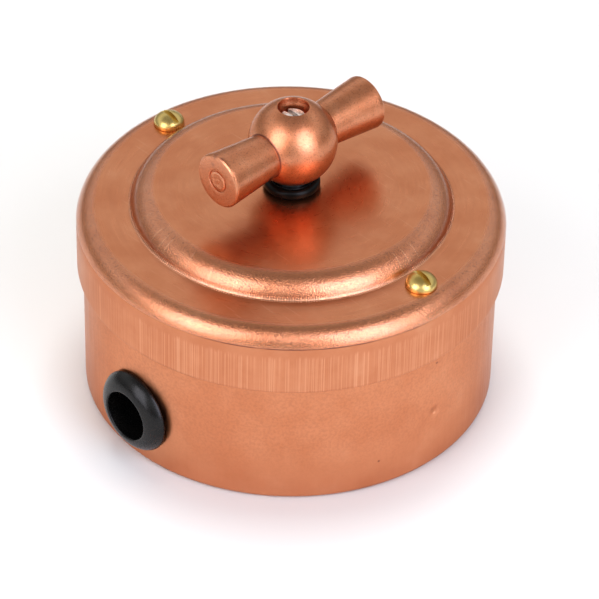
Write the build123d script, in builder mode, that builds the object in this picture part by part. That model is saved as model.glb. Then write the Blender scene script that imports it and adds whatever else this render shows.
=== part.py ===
from build123d import *
import os
from math import cos, radians, sin, sqrt

# Surface-mounted rotary switch in a round case of drawn copper, with a turned bar knob.
# Lengths are millimetres. +Z is up and the origin is the middle of the base's underside.
# The cable entry faces -Y, the lid's screws lie along X and the knob's bar rests along Y.

# Lid: a pressed cap with a rolled corner, a flat ledge and a raised middle
lid_diameter = 76.0
lid_sheet = 0.8
ledge_height = 37.3
skirt_depth = 12.4
lid_corner_width = 3.3
lid_corner_height = 2.9
roll_line_depth = 0.2
roll_line_width = 0.45
ledge_width = 9.6
shoulder_width = 4.3
plateau_rise = 3.55

# Base: a drawn cup that slips inside the lid's skirt
base_sheet = 0.8
base_corner_radius = 1.2
skirt_slip = 0.3
rim_clearance = 0.4
wall_screw_spacing = 52.0
wall_screw_hole_diameter = 4.5

# Cable entry with its rubber grommet
entry_height = 10.35
entry_hole_diameter = 11.6
grommet_bore_diameter = 9.3
grommet_flange_diameter = 15.4
grommet_inner_diameter = 13.6
grommet_flange_edge = 0.4
grommet_dome = 2.7
grommet_bulge = 0.35
grommet_lip_radius = 0.3
grommet_rim_round = 0.6
grommet_inner_thickness = 1.6
rubber_gap = 0.05

# Screws: one metric size for lid, insert and terminals, a smaller one for the knob
screw_diameter = 2.9
thread_gap = 0.05
screw_passage_gap = 0.25
lid_head_diameter = 5.6
lid_head_height = 2.2
lid_head_edge = 0.3
lid_screw_length = 9.0
pan_head_diameter = 5.4
pan_head_height = 1.8
pan_head_edge = 1.1
slot_width = 0.95
slot_depth = 0.9
lid_slot_angles = (-5.5, -11.0)

# Strap, pillars and earth terminal
strap_thickness = 1.5
strap_width = 14.0
strap_end_gap = 0.9
pillar_across_flats = 5.5
pillar_wall_gap = 0.7
pillar_thread_depth = 14.0
pillar_tenon_diameter = 3.2
pillar_edge = 0.6
earth_angle = -45.0
ear_width = 8.0
earth_washer_diameter = 6.0
earth_washer_thickness = 0.8

# Switch insert
body_diameter = 43.0
body_height = 15.0
body_edge_chamfer = 0.8
well_diameter = 27.0
well_floor_thickness = 5.0
pivot_diameter = 4.0
pivot_length = 3.4
running_gap = 0.05
thrust_gap = 0.3
terminal_pocket_width = 9.0
terminal_web = 1.0
terminal_floor_thickness = 6.0
contact_width = 5.0
contact_thickness = 0.8
contact_tip_height = 4.7
contact_side_gap = 0.1
contact_gap = 0.25
block_length = 5.6
block_width = 7.0
block_height = 6.5
block_edge = 0.4
wire_hole_diameter = 3.0
wire_hole_height = 2.4
terminal_screw_length = 4.5
terminal_screw_lift = 0.5

# Rotor and spindle
rotor_diameter = 16.0
rotor_height = 8.4
rotor_edge = 0.6
bridge_width = 4.0
bridge_thickness = 1.0
bridge_lift = 2.2
bridge_clearance = 0.8
insert_gap = 0.05
tang_size = 4.0
tang_engagement = 4.0
spindle_diameter = 6.0
spindle_edge = 0.3

# Click work: a dimpled disc under a sprung ball
disc_diameter = 22.0
disc_thickness = 3.0
disc_edge = 0.5
dimple_count = 4
dimple_circle_radius = 8.0
dimple_depth = 0.5
click_ball_diameter = 3.0
click_gap = 0.1
click_bore_gap = 0.1
housing_wall = 0.8
housing_height = 6.0
housing_edge = 0.4
click_wire_diameter = 0.4
click_spring_pitch = 0.8
click_spring_gap = 0.05

# Bearing bracket, washer and clip
bracket_thickness = 1.4
bracket_width = 12.0
bracket_clearance = 1.0
bracket_leg_gap = 1.0
bracket_end_inset = 1.1
washer_diameter = 9.8
washer_thickness = 0.5
clip_diameter = 9.4
clip_thickness = 0.8
clip_groove_depth = 0.4
clip_opening = 4.2
clip_seat_gap = 0.05

# Black bush around the spindle
bush_bore_diameter = 7.1
bush_neck_diameter = 8.4
bush_lip_diameter = 10.0
bush_lip_height = 2.0
bush_lip_round = 0.8
bush_mouth_round = 0.4
bush_foot_height = 1.2

# Knob: a ball with two flared arms, turned from one bar
ball_diameter = 15.66
knob_seat_diameter = 6.6
knob_gap = 0.5
bar_length = 35.6
arm_neck_diameter = 8.1
arm_end_diameter = 10.0
arm_chamfer = 0.75
ring_groove_diameter = 3.9
ring_groove_width = 0.3
ring_groove_depth = 0.2
knob_socket_depth = 3.6
knob_tang_length = 3.2
knob_screw_diameter = 2.4
knob_screw_length = 12.0
knob_head_diameter = 4.1
knob_head_height = 1.6
knob_head_edge = 0.9
knob_head_sink = 1.6
knob_bore_diameter = 5.5
knob_slot_angle = -3.5
knob_thread_depth = 9.0

# Radii and levels that follow from the sizes above
quarter_turn = 90
lid_radius = lid_diameter / 2
lid_inner_radius = lid_radius - lid_sheet
roll_foot = ledge_height - lid_corner_height
roll_start = lid_radius - lid_corner_width
skirt_edge = ledge_height - skirt_depth
lid_underside = ledge_height - lid_sheet
shoulder_foot_radius = lid_radius - ledge_width
plateau_radius = shoulder_foot_radius - shoulder_width
plateau_top = ledge_height + plateau_rise
plateau_underside = plateau_top - lid_sheet
shoulder_arc = (shoulder_width**2 + plateau_rise**2) / (2 * plateau_rise)
inner_share = (shoulder_arc - lid_sheet) / shoulder_arc
inner_foot_radius = plateau_radius + inner_share * shoulder_width
inner_foot_height = plateau_underside - inner_share * plateau_rise
base_radius = lid_inner_radius - skirt_slip
base_inner_radius = base_radius - base_sheet
base_rim = roll_foot - rim_clearance
strap_top = base_sheet + strap_thickness
pillar_corner_radius = pillar_across_flats / sqrt(3)
pillar_offset = base_inner_radius - pillar_wall_gap - pillar_corner_radius
tapped_radius = screw_diameter / 2 + thread_gap
passage_radius = screw_diameter / 2 + screw_passage_gap
body_radius = body_diameter / 2
body_top = strap_top + body_height
well_floor = strap_top + well_floor_thickness
well_radius = well_diameter / 2
body_screw_offset = (well_radius + body_radius) / 2
bridge_reach = well_radius - bridge_clearance
terminal_floor = strap_top + terminal_floor_thickness
block_floor = terminal_floor + contact_thickness
earth_radius = (body_radius + base_inner_radius) / 2
earth_x = earth_radius * cos(radians(earth_angle))
earth_y = earth_radius * sin(radians(earth_angle))
rotor_floor = well_floor + thrust_gap
rotor_top = rotor_floor + rotor_height
bridge_floor = rotor_floor + bridge_lift
tang_floor = rotor_top - tang_engagement
disc_top = rotor_top + disc_thickness
bracket_underside = disc_top + bracket_clearance
bracket_top = bracket_underside + bracket_thickness
bracket_leg_inner = disc_diameter / 2 + bracket_leg_gap
bracket_leg_outer = bracket_leg_inner + bracket_thickness
foot_top = body_top + bracket_thickness
click_ball_radius = click_ball_diameter / 2
click_ball_center = disc_top + click_gap + click_ball_radius
click_bore_radius = click_ball_radius + click_bore_gap
housing_top = bracket_top + housing_height
spindle_radius = spindle_diameter / 2
washer_floor = bracket_top + clip_seat_gap
clip_floor = washer_floor + washer_thickness + clip_seat_gap
bush_top = plateau_top + bush_lip_height
knob_seat = bush_top + knob_gap
ball_radius = ball_diameter / 2
ball_center = knob_seat + sqrt(ball_radius**2 - (knob_seat_diameter / 2) ** 2)
ball_mouth = ball_center + sqrt(ball_radius**2 - (knob_bore_diameter / 2) ** 2)
knob_head_top = ball_mouth - knob_head_sink
knob_head_floor = knob_head_top - knob_head_height
spindle_top = knob_seat + knob_tang_length
arm_neck_reach = sqrt(ball_radius**2 - (arm_neck_diameter / 2) ** 2)

os.makedirs("parts", exist_ok=True)


# Lid: one closed section turned about Z, then the two screw passages
with BuildPart() as lid:
    with BuildSketch(Plane.XZ):
        with BuildLine():
            Polyline(
                (lid_inner_radius, roll_foot),
                (lid_inner_radius, skirt_edge),
                (lid_radius, skirt_edge),
                (lid_radius, roll_foot - roll_line_width),
                (lid_radius - roll_line_depth, roll_foot - roll_line_width / 2),
                (lid_radius, roll_foot),
            )
            EllipticalCenterArc(
                (roll_start, roll_foot),
                lid_corner_width,
                lid_corner_height,
                0,
                arc_size=quarter_turn,
            )
            Line((roll_start, ledge_height), (shoulder_foot_radius, ledge_height))
            TangentArc(
                (plateau_radius, plateau_top),
                (shoulder_foot_radius, ledge_height),
                tangent=(1, 0),
            )
            Polyline(
                (plateau_radius, plateau_top),
                (bush_neck_diameter / 2, plateau_top),
                (bush_neck_diameter / 2, plateau_underside),
                (plateau_radius, plateau_underside),
            )
            TangentArc(
                (plateau_radius, plateau_underside),
                (inner_foot_radius, inner_foot_height),
                tangent=(1, 0),
            )
            Polyline(
                (inner_foot_radius, inner_foot_height),
                (inner_foot_radius, lid_underside),
                (roll_start, lid_underside),
            )
            EllipticalCenterArc(
                (roll_start, roll_foot),
                lid_corner_width - lid_sheet,
                lid_corner_height - lid_sheet,
                0,
                arc_size=quarter_turn,
            )
        make_face()
    revolve(axis=Axis.Z)
    with BuildSketch(Plane.XY.offset(ledge_height)):
        with PolarLocations(pillar_offset, 2):
            Circle(passage_radius)
    extrude(amount=-2 * lid_sheet, mode=Mode.SUBTRACT)
lid.part.label = "lid"
export_step(lid.part, "parts/lid.step")


# Base cup: floor, rounded corner and straight wall in one turned section
with BuildPart() as base_cup:
    with BuildSketch(Plane.XZ):
        with BuildLine():
            Line((0, 0), (base_radius - base_corner_radius, 0))
            CenterArc(
                (base_radius - base_corner_radius, base_corner_radius),
                base_corner_radius,
                -quarter_turn,
                quarter_turn,
            )
            Polyline(
                (base_radius, base_corner_radius),
                (base_radius, base_rim),
                (base_inner_radius, base_rim),
                (base_inner_radius, base_corner_radius),
            )
            CenterArc(
                (base_radius - base_corner_radius, base_corner_radius),
                base_corner_radius - base_sheet,
                -quarter_turn,
                quarter_turn,
            )
            Polyline((base_radius - base_corner_radius, base_sheet), (0, base_sheet), (0, 0))
        make_face()
    revolve(axis=Axis.Z)
    entry_plane = Plane(origin=(0, -base_radius, entry_height), x_dir=(1, 0, 0), z_dir=(0, -1, 0))
    with BuildSketch(entry_plane):
        Circle(entry_hole_diameter / 2)
    extrude(amount=-base_radius / 2, mode=Mode.SUBTRACT)
    with BuildSketch(Plane.XY):
        with GridLocations(0, wall_screw_spacing, 1, 2):
            Circle(wall_screw_hole_diameter / 2)
    extrude(amount=2 * base_sheet, mode=Mode.SUBTRACT)
base_cup.part.label = "base_cup"
export_step(base_cup.part, "parts/base_cup.step")


# Cable grommet: turned about the entry's axis, outer flange domed, inner flange behind the curved wall
inner_wall_sag = base_inner_radius - sqrt(base_inner_radius**2 - (grommet_inner_diameter / 2) ** 2)
grommet_back = -(base_sheet + inner_wall_sag + rubber_gap)
grommet_end = grommet_back - grommet_inner_thickness
grommet_bore_radius = grommet_bore_diameter / 2
grommet_neck_radius = entry_hole_diameter / 2 - rubber_gap
dome_start = Vector(grommet_dome, grommet_bore_radius + grommet_lip_radius)
dome_end = Vector(rubber_gap + grommet_flange_edge, grommet_flange_diameter / 2)
dome_middle = (dome_start + dome_end) / 2 + Vector(grommet_bulge, grommet_bulge)

with BuildPart() as cable_grommet:
    with BuildSketch(Plane(origin=(0, -base_radius, entry_height), x_dir=(0, -1, 0), z_dir=(-1, 0, 0))):
        with BuildLine():
            CenterArc(
                (grommet_dome - grommet_lip_radius, grommet_bore_radius + grommet_lip_radius),
                grommet_lip_radius,
                -quarter_turn,
                quarter_turn,
            )
            ThreePointArc(dome_start, dome_middle, dome_end)
            Polyline(
                dome_end,
                (rubber_gap, grommet_flange_diameter / 2),
                (rubber_gap, grommet_neck_radius),
                (grommet_back, grommet_neck_radius),
                (grommet_back, grommet_inner_diameter / 2),
                (grommet_end, grommet_inner_diameter / 2),
                (grommet_end, grommet_bore_radius),
                (grommet_dome - grommet_lip_radius, grommet_bore_radius),
            )
        make_face()
    revolve(axis=Axis((0, -base_radius, entry_height), (0, -1, 0)))
    flange_rims = cable_grommet.edges().filter_by(GeomType.CIRCLE)
    inner_rim = flange_rims.group_by(Axis.Y)[-1].sort_by(SortBy.RADIUS)[-1]
    fillet(inner_rim, grommet_rim_round)
cable_grommet.part.label = "cable_grommet"
export_step(cable_grommet.part, "parts/cable_grommet.step")


# Mounting strap: round-ended flat bar with an ear, tapped for the insert, the pillars and the earth screw
with BuildPart() as mounting_strap:
    with BuildSketch(Plane.XY.offset(base_sheet)):
        SlotOverall(2 * (base_inner_radius - strap_end_gap), strap_width)
        SlotCenterPoint((earth_x / 2, earth_y / 2), (earth_x, earth_y), ear_width)
        with PolarLocations(pillar_offset, 2):
            Circle(pillar_tenon_diameter / 2 + thread_gap, mode=Mode.SUBTRACT)
        with PolarLocations(body_screw_offset, 2):
            Circle(tapped_radius, mode=Mode.SUBTRACT)
        with Locations((earth_x, earth_y)):
            Circle(tapped_radius, mode=Mode.SUBTRACT)
    extrude(amount=strap_thickness)
mounting_strap.part.label = "mounting_strap"
export_step(mounting_strap.part, "parts/mounting_strap.step")


# Lid pillars: hexagon spacers staked into the strap, tapped from above
with BuildPart() as lid_pillars:
    with BuildSketch(Plane.XY.offset(strap_top)):
        with PolarLocations(pillar_offset, 2):
            RegularPolygon(pillar_across_flats / 2, 6, major_radius=False)
    extrude(amount=lid_underside - strap_top)
    chamfer(lid_pillars.edges().group_by(Axis.Z)[-1], pillar_edge)
    with BuildSketch(Plane.XY.offset(strap_top)):
        with PolarLocations(pillar_offset, 2):
            Circle(pillar_tenon_diameter / 2)
    extrude(amount=-strap_thickness)
    with BuildSketch(Plane.XY.offset(lid_underside)):
        with PolarLocations(pillar_offset, 2):
            Circle(tapped_radius)
    extrude(amount=-pillar_thread_depth, mode=Mode.SUBTRACT)
lid_pillars.part.label = "lid_pillars"
export_step(lid_pillars.part, "parts/lid_pillars.step")


# Slotted screw with a domed head: underside of the head at Z 0, shank pointing down, slot along X
def slotted_screw(head_diameter, head_height, head_edge, shank_diameter, shank_length):
    head_radius = head_diameter / 2
    dome_rise = head_height - head_edge
    dome_radius = (head_radius**2 + dome_rise**2) / (2 * dome_rise)
    dome_half = head_radius / 2
    dome_half_height = head_height - dome_radius + sqrt(dome_radius**2 - dome_half**2)
    with BuildPart() as screw:
        with BuildSketch(Plane.XZ):
            with BuildLine():
                Polyline(
                    (0, head_height),
                    (0, -shank_length),
                    (shank_diameter / 2, -shank_length),
                    (shank_diameter / 2, 0),
                    (head_radius, 0),
                    (head_radius, head_edge),
                )
                ThreePointArc((head_radius, head_edge), (dome_half, dome_half_height), (0, head_height))
            make_face()
        revolve(axis=Axis.Z)
        with BuildSketch(Plane.XY.offset(head_height)):
            Rectangle(2 * head_diameter, slot_width)
        extrude(amount=-slot_depth, mode=Mode.SUBTRACT)
    return screw.part


lid_screw = slotted_screw(
    lid_head_diameter, lid_head_height, lid_head_edge, screw_diameter, lid_screw_length
)

with BuildPart() as lid_screws:
    for side, slot_angle in zip((-1, 1), lid_slot_angles):
        with Locations(Location((side * pillar_offset, 0, ledge_height), (0, 0, slot_angle))):
            add(lid_screw)
lid_screws.part.label = "lid_screws"
export_step(lid_screws.part, "parts/lid_screws.step")


# Earth terminal on the strap's ear
with BuildPart() as earth_washer:
    with BuildSketch(Plane.XY.offset(strap_top)):
        with Locations((earth_x, earth_y)):
            Circle(earth_washer_diameter / 2)
            Circle(passage_radius, mode=Mode.SUBTRACT)
    extrude(amount=earth_washer_thickness)
earth_washer.part.label = "earth_washer"
export_step(earth_washer.part, "parts/earth_washer.step")

earth_seat = strap_top + earth_washer_thickness
strap_screw_end = base_sheet + thread_gap
earth_pan_screw = slotted_screw(
    pan_head_diameter, pan_head_height, pan_head_edge, screw_diameter, earth_seat - strap_screw_end
)

with BuildPart() as earth_screw:
    with Locations((earth_x, earth_y, earth_seat)):
        add(earth_pan_screw)
earth_screw.part.label = "earth_screw"
export_step(earth_screw.part, "parts/earth_screw.step")


# Switch body: round insulating block with a well for the rotor and an open pocket for each terminal
pocket_inner = well_radius + terminal_web

with BuildPart() as switch_body:
    with BuildSketch(Plane.XY.offset(strap_top)):
        Circle(body_radius)
        with PolarLocations(body_screw_offset, 2):
            Circle(passage_radius, mode=Mode.SUBTRACT)
    extrude(amount=body_height)
    chamfer(switch_body.edges().group_by(Axis.Z)[-1].sort_by(SortBy.RADIUS)[-1], body_edge_chamfer)
    with BuildSketch(Plane.XY.offset(body_top)):
        Circle(well_radius)
    extrude(amount=well_floor - body_top, mode=Mode.SUBTRACT)
    with BuildSketch(Plane.XY.offset(well_floor)):
        Circle(pivot_diameter / 2 + running_gap)
    extrude(amount=-pivot_length - thrust_gap, mode=Mode.SUBTRACT)
    with BuildSketch(Plane.XY.offset(body_top)):
        with PolarLocations(pocket_inner, 2, start_angle=90):
            Rectangle(body_radius, terminal_pocket_width, align=(Align.MIN, Align.CENTER))
            Rectangle(
                pocket_inner - bridge_reach,
                contact_width + 2 * contact_side_gap,
                align=(Align.MAX, Align.CENTER),
            )
    extrude(amount=terminal_floor - body_top, mode=Mode.SUBTRACT)
switch_body.part.label = "switch_body"
export_step(switch_body.part, "parts/switch_body.step")


# Body screws: through bracket foot and switch body into the strap
long_pan_screw = slotted_screw(
    pan_head_diameter, pan_head_height, pan_head_edge, screw_diameter, foot_top - strap_screw_end
)

with BuildPart() as body_screws:
    with Locations((-body_screw_offset, 0, foot_top), (body_screw_offset, 0, foot_top)):
        add(long_pan_screw)
body_screws.part.label = "body_screws"
export_step(body_screws.part, "parts/body_screws.step")


# Fixed contacts: an angle strip in each pocket, its tip standing in the well just beyond the bridge's reach
contact_face = bridge_reach + contact_gap
block_near = pocket_inner + contact_gap
block_far = block_near + block_length
block_middle = block_near + block_length / 2

with BuildPart() as fixed_contacts:
    with BuildSketch(Plane.YZ):
        with BuildLine():
            Polyline(
                (contact_face, terminal_floor),
                (block_far, terminal_floor),
                (block_far, block_floor),
                (contact_face + contact_thickness, block_floor),
                (contact_face + contact_thickness, terminal_floor + contact_tip_height),
                (contact_face, terminal_floor + contact_tip_height),
                close=True,
            )
        make_face()
    extrude(amount=contact_width / 2, both=True)
    mirror(about=Plane.XZ)
fixed_contacts.part.label = "fixed_contacts"
export_step(fixed_contacts.part, "parts/fixed_contacts.step")


# Terminal blocks: drilled across for the wire and tapped from above for the clamping screw
with BuildPart() as terminal_blocks:
    with BuildSketch(Plane.XY.offset(block_floor)):
        with Locations((0, block_middle)):
            Rectangle(block_width, block_length)
    extrude(amount=block_height)
    chamfer(terminal_blocks.edges().filter_by(Axis.Z), block_edge)
    with BuildSketch(Plane.XZ.offset(-block_far)):
        with Locations((0, block_floor + wire_hole_height)):
            Circle(wire_hole_diameter / 2)
    extrude(amount=block_length, mode=Mode.SUBTRACT)
    with BuildSketch(Plane.XY.offset(block_floor + block_height)):
        with Locations((0, block_middle)):
            Circle(tapped_radius)
    extrude(amount=wire_hole_height - block_height, mode=Mode.SUBTRACT)
    mirror(about=Plane.XZ)
terminal_blocks.part.label = "terminal_blocks"
export_step(terminal_blocks.part, "parts/terminal_blocks.step")

terminal_head = block_floor + block_height + terminal_screw_lift
terminal_screw = slotted_screw(
    pan_head_diameter, pan_head_height, pan_head_edge, screw_diameter, terminal_screw_length
)

with BuildPart() as terminal_screws:
    with Locations((0, block_middle, terminal_head), (0, -block_middle, terminal_head)):
        add(terminal_screw)
terminal_screws.part.label = "terminal_screws"
export_step(terminal_screws.part, "parts/terminal_screws.step")


# Bearing bracket: a folded strip over the switch body, bored for the spindle and the click ball
bracket_end = body_radius - bracket_end_inset

with BuildPart() as bearing_bracket:
    with BuildSketch(Plane.XZ):
        with BuildLine():
            Polyline(
                (0, bracket_top),
                (bracket_leg_outer, bracket_top),
                (bracket_leg_outer, foot_top),
                (bracket_end, foot_top),
                (bracket_end, body_top),
                (bracket_leg_inner, body_top),
                (bracket_leg_inner, bracket_underside),
                (0, bracket_underside),
                close=True,
            )
        make_face()
        mirror(about=Plane.YZ)
    extrude(amount=bracket_width / 2, both=True)
    fillet(bearing_bracket.edges().filter_by(Axis.Y).group_by(Axis.Z)[-1], bracket_thickness)
    with BuildSketch(Plane.XY.offset(bracket_top)):
        Circle(spindle_radius + running_gap)
        with Locations((dimple_circle_radius, 0)):
            Circle(click_bore_radius)
    extrude(amount=-2 * bracket_thickness, mode=Mode.SUBTRACT)
    with BuildSketch(Plane.XY.offset(foot_top)):
        with PolarLocations(body_screw_offset, 2):
            Circle(passage_radius)
    extrude(amount=-2 * bracket_thickness, mode=Mode.SUBTRACT)
bearing_bracket.part.label = "bearing_bracket"
export_step(bearing_bracket.part, "parts/bearing_bracket.step")


# Click housing: a small cup on the bracket that guides ball and spring
with BuildPart() as click_housing:
    with BuildSketch(Plane.XY.offset(bracket_top)):
        with Locations((dimple_circle_radius, 0)):
            Circle(click_bore_radius + housing_wall)
    extrude(amount=housing_height)
    fillet(click_housing.edges().group_by(Axis.Z)[-1], housing_edge)
    with BuildSketch(Plane.XY.offset(bracket_top)):
        with Locations((dimple_circle_radius, 0)):
            Circle(click_bore_radius)
    extrude(amount=housing_height - housing_wall, mode=Mode.SUBTRACT)
click_housing.part.label = "click_housing"
export_step(click_housing.part, "parts/click_housing.step")

with BuildPart() as click_ball:
    with Locations((dimple_circle_radius, 0, click_ball_center)):
        Sphere(click_ball_radius)
click_ball.part.label = "click_ball"
export_step(click_ball.part, "parts/click_ball.step")

# Click spring: from the ball's upper flank to the underside of the housing's cap
coil_radius = click_bore_radius - click_spring_gap - click_wire_diameter / 2
coil_reach = click_ball_radius + click_wire_diameter / 2 + click_spring_gap
coil_floor = click_ball_center + sqrt(coil_reach**2 - coil_radius**2)
coil_top = housing_top - housing_wall - click_spring_gap - click_wire_diameter / 2

with BuildPart() as click_spring:
    with BuildLine() as coil:
        Helix(
            click_spring_pitch,
            coil_top - coil_floor,
            coil_radius,
            center=(dimple_circle_radius, 0, coil_floor),
        )
    with BuildSketch(Plane(origin=coil.line @ 0, z_dir=coil.line % 0)):
        Circle(click_wire_diameter / 2)
    sweep(is_frenet=True)
click_spring.part.label = "click_spring"
export_step(click_spring.part, "parts/click_spring.step")


# Rotor: insulating drum on a pivot, slotted for the bridge and socketed for the spindle
with BuildPart() as rotor:
    with BuildSketch(Plane.XY.offset(rotor_floor)):
        Circle(rotor_diameter / 2)
    extrude(amount=rotor_height)
    chamfer(rotor.edges().filter_by(GeomType.CIRCLE), rotor_edge)
    with BuildSketch(Plane.XY.offset(rotor_floor)):
        Circle(pivot_diameter / 2)
    extrude(amount=-pivot_length)
    with BuildSketch(Plane.XY.offset(bridge_floor - insert_gap)):
        Rectangle(2 * rotor_diameter, bridge_width + 2 * insert_gap)
    extrude(amount=bridge_thickness + 2 * insert_gap, mode=Mode.SUBTRACT)
    with BuildSketch(Plane.XY.offset(rotor_top)):
        Rectangle(tang_size + 2 * insert_gap, tang_size + 2 * insert_gap)
    extrude(amount=-tang_engagement - insert_gap, mode=Mode.SUBTRACT)
rotor.part.label = "rotor"
export_step(rotor.part, "parts/rotor.step")

with BuildPart() as contact_bridge:
    with BuildSketch(Plane.XY.offset(bridge_floor)):
        Circle(bridge_reach)
        Rectangle(2 * bridge_reach, bridge_width, mode=Mode.INTERSECT)
    extrude(amount=bridge_thickness)
contact_bridge.part.label = "contact_bridge"
export_step(contact_bridge.part, "parts/contact_bridge.step")


# Click disc: keyed to the spindle, with a dimple at each quarter turn
with BuildPart() as click_disc:
    with BuildSketch(Plane.XY.offset(rotor_top)):
        Circle(disc_diameter / 2)
        Rectangle(tang_size + 2 * insert_gap, tang_size + 2 * insert_gap, mode=Mode.SUBTRACT)
    extrude(amount=disc_thickness)
    chamfer(click_disc.edges().filter_by(GeomType.CIRCLE), disc_edge)
    with Locations((0, 0, disc_top + click_ball_radius - dimple_depth)):
        with PolarLocations(dimple_circle_radius, dimple_count):
            Sphere(click_ball_radius, mode=Mode.SUBTRACT)
click_disc.part.label = "click_disc"
export_step(click_disc.part, "parts/click_disc.step")


# Spindle: round shaft between two square tangs, grooved for the clip and tapped for the knob's screw
groove_floor = clip_floor - clip_seat_gap

with BuildPart() as spindle:
    with BuildSketch(Plane.XY.offset(tang_floor)):
        Rectangle(tang_size, tang_size)
    extrude(amount=spindle_top - tang_floor)
    chamfer(spindle.edges().group_by(Axis.Z)[0], spindle_edge)
    with BuildSketch(Plane.XY.offset(disc_top)):
        Circle(spindle_radius)
    extrude(amount=knob_seat - disc_top)
    with BuildSketch(Plane.XY.offset(groove_floor)):
        Circle(spindle_diameter)
        Circle(spindle_radius - clip_groove_depth, mode=Mode.SUBTRACT)
    extrude(amount=clip_thickness + 2 * clip_seat_gap, mode=Mode.SUBTRACT)
    with BuildSketch(Plane.XY.offset(spindle_top)):
        Circle(knob_screw_diameter / 2 + thread_gap)
    extrude(amount=-knob_thread_depth, mode=Mode.SUBTRACT)
spindle.part.label = "spindle"
export_step(spindle.part, "parts/spindle.step")

with BuildPart() as thrust_washer:
    with BuildSketch(Plane.XY.offset(washer_floor)):
        Circle(washer_diameter / 2)
        Circle(spindle_radius + insert_gap, mode=Mode.SUBTRACT)
    extrude(amount=washer_thickness)
thrust_washer.part.label = "thrust_washer"
export_step(thrust_washer.part, "parts/thrust_washer.step")

# Spindle clip: an open ring that snaps into the spindle's groove
clip_inner_radius = spindle_radius - clip_groove_depth + insert_gap

with BuildPart() as spindle_clip:
    with BuildSketch(Plane.XY.offset(clip_floor)):
        Circle(clip_diameter / 2)
        Circle(clip_inner_radius, mode=Mode.SUBTRACT)
        Rectangle(clip_diameter, clip_opening, align=(Align.MAX, Align.CENTER), mode=Mode.SUBTRACT)
    extrude(amount=clip_thickness)
spindle_clip.part.label = "spindle_clip"
export_step(spindle_clip.part, "parts/spindle_clip.step")


# Spindle bush: a black ring with a rounded lip, snapped into the lid's middle hole
bush_neck_radius = bush_neck_diameter / 2 - rubber_gap
bush_lip_radius = bush_lip_diameter / 2
bush_seat = plateau_top + rubber_gap
bush_foot_top = plateau_underside - rubber_gap
lip_start = bush_lip_radius - bush_lip_round

with BuildPart() as spindle_bush:
    with BuildSketch(Plane.XZ):
        with BuildLine():
            CenterArc((lip_start, bush_seat + bush_lip_round), bush_lip_round, -quarter_turn, quarter_turn)
            Line((bush_lip_radius, bush_seat + bush_lip_round), (bush_lip_radius, bush_top - bush_lip_round))
            CenterArc((lip_start, bush_top - bush_lip_round), bush_lip_round, 0, quarter_turn)
            Polyline(
                (lip_start, bush_top),
                (bush_bore_diameter / 2, bush_top),
                (bush_bore_diameter / 2, bush_foot_top - bush_foot_height),
                (bush_lip_radius, bush_foot_top - bush_foot_height),
                (bush_lip_radius, bush_foot_top),
                (bush_neck_radius, bush_foot_top),
                (bush_neck_radius, bush_seat),
                (lip_start, bush_seat),
            )
        make_face()
    revolve(axis=Axis.Z)
    mouth_edge = spindle_bush.edges().group_by(Axis.Z)[-1].sort_by(SortBy.RADIUS)[0]
    foot_edge = spindle_bush.edges().group_by(Axis.Z)[0].sort_by(SortBy.RADIUS)[-1]
    fillet([mouth_edge, foot_edge], bush_mouth_round)
spindle_bush.part.label = "spindle_bush"
export_step(spindle_bush.part, "parts/spindle_bush.step")


# Knob: half outline of ball, flared arms and grooved ends turned about the bar, then drilled for the screw
arm_end = bar_length / 2
groove_inner = (ring_groove_diameter - ring_groove_width) / 2
groove_outer = (ring_groove_diameter + ring_groove_width) / 2

with BuildPart() as knob:
    with BuildSketch(Plane.XY.offset(ball_center)):
        with BuildLine():
            Polyline(
                (0, 0),
                (0, arm_end),
                (groove_inner, arm_end),
                (groove_inner, arm_end - ring_groove_depth),
                (groove_outer, arm_end - ring_groove_depth),
                (groove_outer, arm_end),
                (arm_end_diameter / 2 - arm_chamfer, arm_end),
                (arm_end_diameter / 2, arm_end - arm_chamfer),
                (arm_neck_diameter / 2, arm_neck_reach),
            )
            RadiusArc((arm_neck_diameter / 2, arm_neck_reach), (ball_radius, 0), ball_radius)
            Line((ball_radius, 0), (0, 0))
        make_face()
        mirror(about=Plane.XZ)
    revolve(axis=Axis((0, 0, ball_center), (0, 1, 0)))
    with BuildSketch(Plane.XY.offset(knob_seat)):
        Circle(ball_radius)
    extrude(amount=-ball_radius, mode=Mode.SUBTRACT)
    with BuildSketch(Plane.XY.offset(knob_seat)):
        Rectangle(tang_size + 2 * insert_gap, tang_size + 2 * insert_gap)
    extrude(amount=knob_socket_depth, mode=Mode.SUBTRACT)
    with BuildSketch(Plane.XY.offset(ball_center + ball_radius)):
        Circle(knob_bore_diameter / 2)
    extrude(amount=knob_head_floor - ball_center - ball_radius, mode=Mode.SUBTRACT)
    with BuildSketch(Plane.XY.offset(knob_head_floor)):
        Circle(knob_screw_diameter / 2 + screw_passage_gap)
    extrude(amount=knob_seat - knob_head_floor, mode=Mode.SUBTRACT)
knob.part.label = "knob"
export_step(knob.part, "parts/knob.step")

ball_screw = slotted_screw(
    knob_head_diameter, knob_head_height, knob_head_edge, knob_screw_diameter, knob_screw_length
)

with BuildPart() as knob_screw:
    with Locations(Location((0, 0, knob_head_floor), (0, 0, knob_slot_angle))):
        add(ball_screw)
knob_screw.part.label = "knob_screw"
export_step(knob_screw.part, "parts/knob_screw.step")
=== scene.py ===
import bpy
import math
from mathutils import Matrix, Vector


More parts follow.
